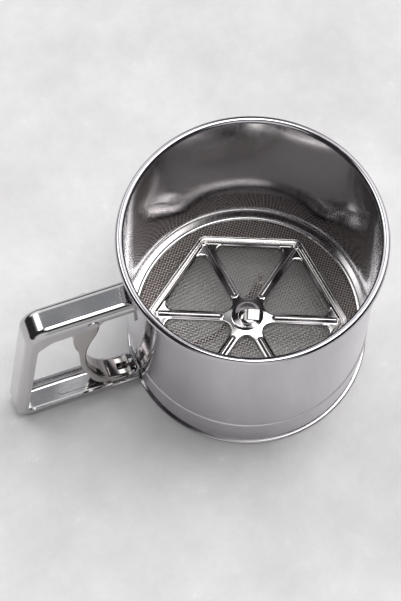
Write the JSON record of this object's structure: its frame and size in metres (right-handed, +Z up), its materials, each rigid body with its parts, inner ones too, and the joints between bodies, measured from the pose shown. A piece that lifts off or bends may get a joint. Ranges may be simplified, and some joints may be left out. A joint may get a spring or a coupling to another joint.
{
  "type": "flour sifter",
  "caption": "Round metal flour sifter cup with a squeeze-trigger handle that turns a six-spoke agitator over a fine mesh through a crank and link.",
  "frame": {"origin": "centre of the cup's foot circle on the table", "axes": "+Z up along the cup's axis, -X towards the handle"},
  "size_m": [0.1585, 0.1066, 0.096],
  "materials": {
    "polished_sheet": "mirror-polished stainless steel sheet with faint fine scratches",
    "pressed_sheet": "bright pressed stainless steel sheet",
    "brushed_sheet": "plain stainless steel, satin",
    "woven_wire": "fine plain-woven stainless wire cloth, drawn as a thin disc",
    "drawn_wire": "bright drawn stainless wire",
    "spring_steel": "spring steel, slightly darker",
    "brass_bush": "turned brass"
  },
  "bodies": {
    "root": {"cup_shell": "polished_sheet", "mesh_support_ring": "brushed_sheet", "sieve_mesh": "woven_wire", "mesh_retaining_ring": "polished_sheet", "shaft_bushing": "brass_bush", "bushing_washer": "brushed_sheet", "handle_channel": "polished_sheet", "upper_handle_saddle": "brushed_sheet", "lower_handle_saddle": "brushed_sheet", "pivot_rivet": "brushed_sheet"},
    "agitator": {"agitator_wheel": "pressed_sheet", "agitator_shaft": "brushed_sheet", "thrust_washer": "brass_bush", "crank_spacer": "brushed_sheet", "crank_arm": "brushed_sheet", "crank_washer": "brushed_sheet"},
    "link": {"link_wire": "drawn_wire", "link_push_nut": "spring_steel"},
    "trigger": {"trigger_lever": "polished_sheet", "trigger_pin": "drawn_wire", "pin_push_nut": "spring_steel", "return_spring": "spring_steel"}
  },
  "joints": [
    {"name": "trigger_hinge", "type": "hinge", "parent": "root", "child": "trigger", "pos_m": [-0.068, 0, 0.075], "axis": [0, 1, 0], "range_deg": [0, 9], "stiffness_Nm_per_rad": 0.8, "springref_deg": -20.05},
    {"name": "agitator_spin", "type": "hinge", "parent": "root", "child": "agitator", "pos_m": [0, 0, 0.014], "axis": [0, 0, 1], "range_deg": [0, 36]},
    {"name": "link_hinge", "type": "hinge", "parent": "agitator", "child": "link", "pos_m": [0.01248, 0.0175, 0.0075], "axis": [0, 0, 1], "range_deg": [-32, 0]}
  ],
  "couplings": [
    {"joint": "agitator_spin", "follows": "trigger_hinge", "ratio": 3.923},
    {"joint": "link_hinge", "follows": "trigger_hinge", "ratio": -3.474}
  ]
}
